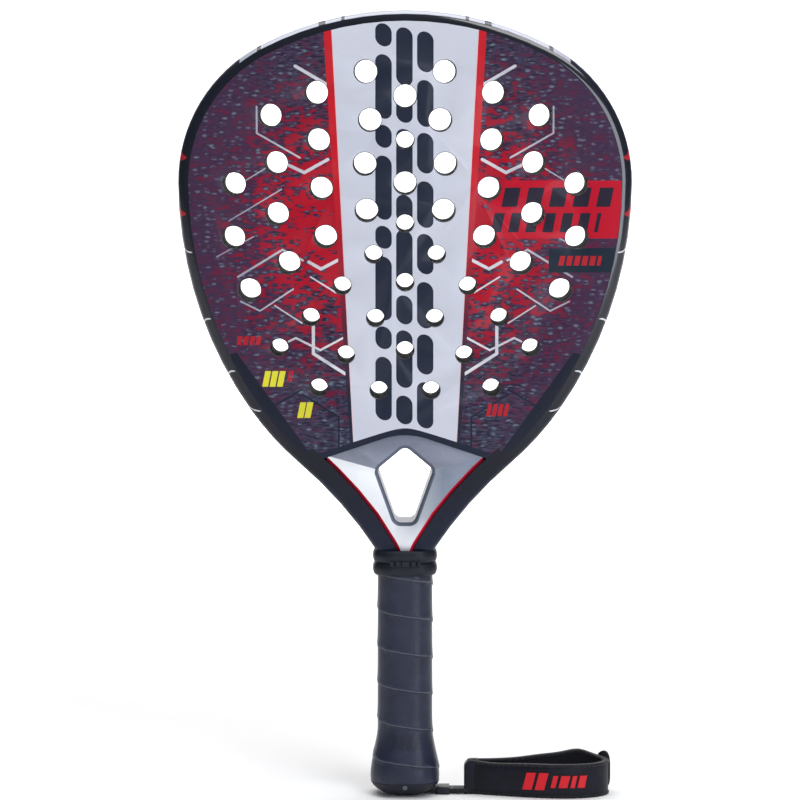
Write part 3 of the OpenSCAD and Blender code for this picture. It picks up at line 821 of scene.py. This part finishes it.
# Painted shadow: a dark line just under the next turn's overlapping edge.
tone = blended(tree, ramped(tree, past_seam, PITCH - 1.0, PITCH - 0.2, 0, 0.85), tone, "#10131b")
finished(tree, shader, tone, maths(tree, "MULTIPLY_ADD", pressed, -1.6, leather), 0.12)
grip.data.materials.append(tape)

# %% [markdown]
# The butt cap is a moulded plug. Its rounded lip shows below the wrap, and its skirt holds
# the wrap from inside. It is a sleeve from the flat bottom up to the lip and on up the skirt,
# with a socket for the handle shells going back down. Boxes are then cut out for the strap's
# slot and groove, and a drill for the pin.
# %% Butt cap
lip = [plain_ring(z, 0) for z in (0, 0.15, 0.4, 0.8, 1.4, 2.2, 3.2, 4.4, 5.6, 6.8, 7.8, 8.3)]
skirt = [plain_ring(z, 1.85) for z in (8.35, 11, 15, 20, 25, 29.9)]
socket = [octagon_ring(z, 14.4, 12.9, 6.15, 60) for z in (29.9, 16.0)]
cap = sleeve("butt_plug", lip + skirt + socket)


def box(size, place):
    """A plain box, given in millimetres by its three sides and its middle."""
    bpy.ops.object.select_all(action="DESELECT")
    bpy.ops.mesh.primitive_cube_add(size=1, location=[p * MM for p in place], scale=[s * MM for s in size])
    bpy.ops.object.transform_apply(location=True, rotation=True, scale=True)
    return bpy.context.object


def cut_with(piece, tool, operation="DIFFERENCE"):
    alone(piece)
    cut = piece.modifiers.new("cut", "BOOLEAN")
    cut.operation = operation
    cut.object = tool
    bpy.ops.object.modifier_apply(modifier=cut.name)
    bpy.data.objects.remove(tool, do_unlink=True)


for size, place in (((28, 11.2, 14), (0, 0, 6)), ((90, 11.2, 5.4), (0, 0, 1.7))):
    cut_with(cap, box(size, place))
bpy.ops.mesh.primitive_cylinder_add(vertices=48, radius=1.5 * MM, depth=0.06, location=(0, 0, 6.2 * MM),
                                    rotation=(radians(90), 0, 0))
cut_with(cap, bpy.context.object)
softened(cap, 0.3, 2, 50)
smoothed(cap, 35)
stands_for(cap, "butt_cap", "racket")

# %% [markdown]
# Black moulded polymer: the mould's fine spark-eroded texture gives it a soft sheen.
# %% Moulded polymer
polymer = grained("moulded dark polymer", {"Roughness": 0.5, "Specular IOR Level": 0.3},
                  "TexNoise", {"Scale": 2.2, "Detail": 3.0}, ("#141722", "#1e222f"), 0.05)
cap.data.materials.append(polymer)

# %% [markdown]
# The collar is a stretchy rubber ring that covers the top end of the wrap. It has two round
# ribs with a groove between. The outside follows a wave, the top turns in to hug the frame,
# and small blocks, moulded once and copied, stand in the groove on the front and the back.
# %% Collar
COLLAR_Z, COLLAR_H = 129.7, 14.7
wave = [(i / 40, -0.9 + 1.3 * abs(sin(2 * pi * i / 40)) ** 0.62) for i in range(41)]
outer = [octagon_ring(COLLAR_Z + u * COLLAR_H, 18.3 + proud, 16.8 + proud, 7.7, 14) for u, proud in wave]
inner = [octagon_ring(*measures, crisp=40) for measures in (
    (144.2, 14.9, 13.1, 3.0), (134.2, 13.0, 10.6, 3.0), (134.1, 16.3, 14.8, 7.2), (129.9, 16.3, 14.8, 7.2))]
collar = sleeve("rubber_collar", outer + inner, ends="joined")
smoothed(collar, 60)

block = box((4, 0.9, 3.0), (0, -17.25, 137.0))
softened(block, 0.35, 3, 30)
blocks = [collar]
for turn in (0, 180):
    for offset, width in ((-7.6, 0.6), (-3.9, 0.8), (0.4, 1.15), (4.9, 0.75), (8.1, 0.5)):
        twin = block.copy()
        twin.data = block.data.copy()
        bpy.context.collection.objects.link(twin)
        for v in twin.data.vertices:
            v.co.x = v.co.x * width + offset * MM
            if turn:
                v.co.x, v.co.y = -v.co.x, -v.co.y
        blocks.append(twin)
bpy.data.objects.remove(block, do_unlink=True)
alone(collar)
for twin in blocks:
    twin.select_set(True)
bpy.ops.object.join()
stands_for(collar, "grip_collar", "racket")

# %% [markdown]
# Rubber: nearly black and matt, with a trace of dusty bloom on its high spots.
# %% Rubber
rubber = grained("black silicone rubber", {"Roughness": 0.5, "Specular IOR Level": 0.3},
                 "TexNoise", {"Scale": 0.7, "Detail": 5.0}, ("#12151f", "#1e222f"), 0.06)
collar.data.materials.append(rubber)

# %% [markdown]
# Inside the handle: two glass-filled shells, a foam spine between the frame's shanks, and the
# steel pin that holds the strap. They hardly show, but each keeps an honest finish.
# %% Hidden handle parts
shell_finish = grained("glass-filled nylon", {"Roughness": 0.6, "IOR": 1.53},
                       "TexNoise", {"Scale": 1.2, "Detail": 4.0}, ("#a8a499", "#bdb9ae"), 0.05)
spine_finish = grained("cream polyurethane foam", {"Roughness": 0.9, "IOR": 1.45},
                       "TexVoronoi", {"Scale": 1.0}, ("#cfc7a8", "#e2dcc2"), 0.15)
steel, tree, shader = material("brushed stainless steel", {"Metallic": 1.0, "Roughness": 0.32})
lines = add(tree, "Mapping", {}, {"Vector": millimetres(tree), "Scale": (6, 0.3, 6)})
brushed = noise(tree, lines, 1.0, 2.0)
finished(tree, shader, blended(tree, brushed, "#55585f", "#74777d"), brushed, 0.01)
for node, finish in (("front_pallet", shell_finish), ("rear_pallet", shell_finish),
                     ("handle_spine", spine_finish), ("strap_pin", steel)):
    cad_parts[node].material_slots[0].material = finish

# %% [markdown]
# The strap's lead is one length of nylon webbing folded over the pin, and a short moulded
# sleeve closes the fold. Both copies only need softer edges. Woven nylon shows as fine ribs
# across the webbing, about 1.2 mm apart.
# %% Lead and sleeve
webbing, tree, shader = material("black nylon webbing", {
    "Roughness": 0.62, "Specular IOR Level": 0.3, "Sheen Weight": 0.1})
place = millimetres(tree)
weft = add(tree, "TexWave", {"bands_direction": "X"}, {"Vector": place, "Scale": 0.26, "Distortion": 0.6})
warp = add(tree, "TexWave", {"bands_direction": "Y"}, {"Vector": place, "Scale": 0.32, "Distortion": 0.4})
weave = maths(tree, "MULTIPLY", weft, warp)
finished(tree, shader, blended(tree, weave, "#0c0d12", "#22242e"), weave, 0.18)
lead = copied("strap_lead", "strap_webbing")
softened(lead, 0.5, 3, 40)
smoothed(lead, 40)
lead.data.materials.append(webbing)
keeper = copied("lead_sleeve", "webbing_keeper")
softened(keeper, 0.45, 3, 40)
smoothed(keeper, 40)
keeper.data.materials.append(rubber)
stands_for(lead, "strap_lead", "strap")
stands_for(keeper, "lead_sleeve", "strap")

# %% [markdown]
# The band is a padded loop laid out as a drop. All of its layers follow one middle line, so
# that line comes first: an angle from 0 at the front end, round the tip of the drop at 180,
# to 360 at the rear end. The rear strand is creased, which lifts its upper edge.
# %% Path of the band
BAND_T, PAD_T, BAND_W = 3.2, 1.8, 20.0
LOOP_X, LOOP_L, LOOP_HALF = 36.5, 81.0, 16.5
START_Y = 0.3 + BAND_T / 2


def band_middle(a):
    power, peak = (1.5, 0.702) if a < 180 else (4, 0.517)
    half_sine = max(sin(radians(a / 2)), 0)
    bulge = sin(radians(a)) * half_sine ** power / peak
    apart = START_Y * (-1 if a < 180 else 1) * (1 - half_sine ** 8)
    return LOOP_X + LOOP_L * (1 - cos(radians(a))) / 2, apart - bulge * (LOOP_HALF - START_Y)


def on_band(a, off, z):
    """A point of the band: angle along the loop, distance out from the middle, height."""
    x0, y0 = band_middle(max(a - 1, 0))
    x1, y1 = band_middle(min(a + 1, 360))
    x, y = band_middle(a)
    run = hypot(x1 - x0, y1 - y0)
    crease = 3.0 * exp(-((a - 233) / 16) ** 2) + 1.2 * exp(-((a - 262) / 20) ** 2)
    dip = 0.9 * exp(-((a - 52) / 22) ** 2)
    share = max(z / BAND_W, 0)
    return x + (y1 - y0) / run * off, y - (x1 - x0) / run * off, z + share * (crease - dip)


def even_angles(first, last, count):
    """Angles along the loop, spaced by equal lengths of band."""
    fine = [first + (last - first) * i / 2000 for i in range(2001)]
    run = [0.0]
    for a, b in zip(fine, fine[1:]):
        p, q = band_middle(a), band_middle(b)
        run.append(run[-1] + hypot(q[0] - p[0], q[1] - p[1]))
    picked, j = [], 0
    for i in range(count + 1):
        while j < 2000 and run[j] < run[-1] * i / count:
            j += 1
        picked.append(fine[j])
    return picked


def layer(name, angles, low, high, bottom, top, around=48, crisp=6):
    """A soft-edged strip of the band between two distances from the middle and two heights."""
    rings = []
    for a in angles:
        def ring(angle, a=a):
            out, up = soft_square(angle, crisp)
            off = (low + high) / 2 + (high - low) / 2 * out
            return on_band(a, off, (bottom + top) / 2 + (top - bottom) / 2 * up)
        rings.append(ring)
    return sleeve(name, rings, around)


angles = even_angles(3, 357, 170)
lengths = [hypot(band_middle(b)[0] - band_middle(a)[0], band_middle(b)[1] - band_middle(a)[1])
           for a, b in zip(angles, angles[1:])]
print("band length", round(sum(lengths)), "mm")

# %% [markdown]
# The outer pad is a thin foam strip in a smooth neoprene cover, sewn down along both edges,
# so it stands crowned between its seams. Cloth simulation gives that: the strip is blown up
# slightly with its edges pinned. It is simulated forty times larger, because cloth this small
# hardly moves in the solver, and how far any point may travel is capped.
# %% Padded cover
def pinned(a, off, z):
    """0 where the pad may swell freely, 1 where it is sewn down or held."""
    near_edge = min(max((2.2 - min(z, BAND_W - z)) / 0.8, 0), 1)
    inner = 1 if off < 0.2 else 0
    held = 1 if 182 < a < 214 or a < 24 or a > 336 else 0
    return max(near_edge, inner, held)


OUT, IN = BAND_T / 2, BAND_T / 2 - PAD_T
pad = layer("wrist_cushion", angles, IN, OUT - 0.25, 0.4, BAND_W - 0.4, around=64)
rest = [v.co.copy() for v in pad.data.vertices]
SWELL_SCALE = 40
for v in pad.data.vertices:
    v.co = v.co * SWELL_SCALE
seam = pad.vertex_groups.new(name="sewn")
weights = {}
line = [(a, *band_middle(a)) for a in angles]
for i, start in enumerate(rest):
    z = start.z / MM
    best = min(line, key=lambda m: hypot(m[1] - start.x / MM, m[2] - start.y / MM))[0]
    mx, my = on_band(best, 0, z)[:2]
    ox, oy = on_band(best, 1, z)[:2]
    off = (start.x / MM - mx) * (ox - mx) + (start.y / MM - my) * (oy - my)
    weights[i] = pinned(best, off, min(z, BAND_W))
    seam.add([i], weights[i], "REPLACE")
alone(pad)
cloth = pad.modifiers.new("swell", "CLOTH")
for name, value in {
        "quality": 5, "mass": 0.3, "tension_stiffness": 12, "compression_stiffness": 12,
        "bending_stiffness": 0.5, "use_pressure": True, "uniform_pressure_force": 4,
        "vertex_group_mass": "sewn", "pin_stiffness": 1}.items():
    setattr(cloth.settings, name, value)
cloth.settings.effector_weights.gravity = 0
for step in range(1, 21):
    bpy.context.scene.frame_set(step)
bpy.ops.object.modifier_apply(modifier=cloth.name)
CAP = 0.85
moved = []
for v, start, weight in zip(pad.data.vertices, rest, weights.values()):
    shift = v.co / SWELL_SCALE - start
    limit = CAP * MM * (1 - weight)
    far = shift.length
    moved.append(far / MM)
    if far > limit:
        shift = shift * (limit / far)
    v.co = start + shift
print("pad swelled by up to", round(max(moved), 2), "mm, capped at", CAP)
pad.vertex_groups.clear()
bpy.context.scene.frame_set(1)
subdivision = pad.modifiers.new("smooth", "SUBSURF")
subdivision.levels = subdivision.render_levels = 1
alone(pad)
bpy.ops.object.modifier_apply(modifier=subdivision.name)
smoothed(pad, 60)
stands_for(pad, "wrist_pad", "band")

# %% [markdown]
# The lining is the soft inner layer against the wrist. Narrow binding tape is folded over
# both long edges of the band to hold pad and lining together, and a row of stitches runs
# along each tape.
# %% Lining and binding
lining = layer("wrist_lining_soft", angles, -BAND_T / 2, IN - 0.05, 0.3, BAND_W - 0.3, around=32)
smoothed(lining, 60)
bindings = []
for name, middle_z in (("binding_lower", 1.0), ("binding_upper", BAND_W - 1.0)):
    bindings.append(layer(name, even_angles(8, 352, 150), -BAND_T / 2 - 0.25, OUT + 0.2,
                          middle_z - 1.0, middle_z + 1.0, around=16, crisp=3))
    smoothed(bindings[-1], 70)
stands_for(lining, "wrist_lining", "band")
for binding in bindings:
    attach(binding, "band")

# %% [markdown]
# Fabrics of the band. The cover is smooth neoprene with a fine knit, the lining is a brushed
# loop fabric with a soft sheen, and the binding is a ribbed tape.
# %% Band fabrics
cover, tree, shader = material("knit-faced neoprene", {
    "Roughness": 0.55, "Specular IOR Level": 0.25, "Sheen Weight": 0.08, "Sheen Roughness": 0.4})
place = millimetres(tree)
knit = add(tree, "TexVoronoi", {}, {"Vector": place, "Scale": 1.5, "Randomness": 0.3})
folds = noise(tree, place, 0.12, 3.0)
tone = blended(tree, ramped(tree, folds, 0.3, 0.7), "#0a0c15", "#131625")
finished(tree, shader, tone, maths(tree, "MULTIPLY_ADD", folds, 5.0, knit), 0.08)
pad.data.materials.append(cover)
brushed_loop = grained("brushed loop fabric",
                       {"Roughness": 0.85, "Specular IOR Level": 0.2, "Sheen Weight": 0.12},
                       "TexNoise", {"Scale": 1.8, "Detail": 5.0}, ("#0a0b10", "#181920"), 0.25)
lining.data.materials.append(brushed_loop)
for tape_piece in bindings:
    tape_piece.data.materials.append(webbing)

# %% [markdown]
# The band's two ends are wrapped in a sewn tab. Its outside is a block with a round upper
# corner towards the handle and soft edges all over. A bevel on the CAD copy itself would run
# into the two slots for the strands, so the block is finished first, and the copy keeps only
# what lies inside it. A short flexible bridge of webbing spans the joint between the lead and
# the tab.
# %% End tab and flexible bridge
tab = copied("band_end_tab", "sewn_end_tab")
spans = [[v.co[axis] / MM for v in tab.data.vertices] for axis in range(3)]
low, high = [min(s) for s in spans], [max(s) for s in spans]
block = box([b - a for a, b in zip(low, high)], [(a + b) / 2 for a, b in zip(low, high)])
with editing(block):
    corners = pick("edges", lambda e: all(
        v.co.x / MM < low[0] + 0.2 and v.co.z / MM > high[2] - 0.2 for v in e.verts))
    bpy.ops.mesh.bevel(offset=4.5 * MM, segments=7)
print("tab corner edges", corners)
softened(block, 0.9, 4, 40)
cut_with(tab, block, "INTERSECT")
smoothed(tab, 50)
tab.data.materials.append(cover)
stands_for(tab, "band_end_tab", "band")

HINGE_Z = 2.2


def hinge_ring(x):
    def ring(angle):
        across, up = soft_square(angle)
        return x, 5.15 * across, HINGE_Z + 1.3 * up
    return ring


bridge_strip = sleeve("flexible_bridge", [hinge_ring(30.0 + 0.35 * i) for i in range(21)], around=40)
smoothed(bridge_strip, 60)
bridge_strip.data.materials.append(webbing)
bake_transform(bridge_strip)

# %% [markdown]
# The closure is the hook-and-loop end of the band, lapped over its rear strand and a little
# taller than it. It is a thin tongue laid on the band's curve. Its corners are round because
# each ring of the sleeve is only as tall as the tongue is at that place.
# %% Closure
TONGUE_STEPS, CORNER = 30, 6.0
tongue = even_angles(186, 211, TONGUE_STEPS)
tongue_l = hypot(*(q - p for p, q in zip(band_middle(186), band_middle(211))))
rings = []
for i, a in enumerate(tongue):
    near_end = min(min(i, TONGUE_STEPS - i) / TONGUE_STEPS * tongue_l + 0.25, CORNER)
    half_h = 10.5 - CORNER + sqrt(CORNER ** 2 - (CORNER - near_end) ** 2)

    def ring(angle, a=a, half_h=half_h):
        out, up = soft_square(angle)
        return on_band(a, OUT + 0.65 + 0.6 * out, 12.5 + half_h * up)
    rings.append(ring)
closure = sleeve("closure_tab", rings, around=48)
smoothed(closure, 50)
closure.data.materials.append(brushed_loop)
stands_for(closure, "wrist_closure", "band")

# %% [markdown]
# The badge is a plain printed emblem, a row of slanted red bars. Each bar starts as a small
# box, is cut into short lengths so that it can bend, and is laid on the band's curve.
# %% Badge
badge_red = grained("rubber-printed red", {"Roughness": 0.4, "Specular IOR Level": 0.3},
                    "TexNoise", {"Scale": 1.5, "Detail": 3.0}, ("#c80f1e", "#e5202c"), 0.04)
bars = []
for first, last, low, high in ((80, 87.5, 5, 15), (90, 97.5, 5, 15), (102, 106, 6.5, 13.5),
                               (108.5, 116, 6.5, 13.5), (118.5, 122.5, 6.5, 13.5), (125, 132, 6.5, 13.5)):
    bpy.ops.object.select_all(action="DESELECT")
    bpy.ops.mesh.primitive_cube_add(size=1)
    bar = bpy.context.object
    with editing(bar):
        bpy.ops.mesh.select_all(action="SELECT")
        bpy.ops.mesh.subdivide(number_cuts=8)
    for v in bar.data.vertices:
        z = low + (high - low) * (v.co.z + 0.5)
        a = first + (last - first) * (v.co.x + 0.5) + (z - 10) * 0.35
        v.co = [c * MM for c in on_band(a, OUT + 0.25 + 0.8 * (v.co.y + 0.5), z)]
    bars.append(bar)
alone(bars[0])
for bar in bars:
    bar.select_set(True)
bpy.ops.object.join()
badge = bpy.context.object
badge.name = "slanted_bar_badge"
with editing(badge):
    bpy.ops.mesh.select_all(action="SELECT")
    bpy.ops.mesh.normals_make_consistent(inside=False)
smoothed(badge, 40)
badge.data.materials.append(badge_red)
stands_for(badge, "strap_badge", "band")
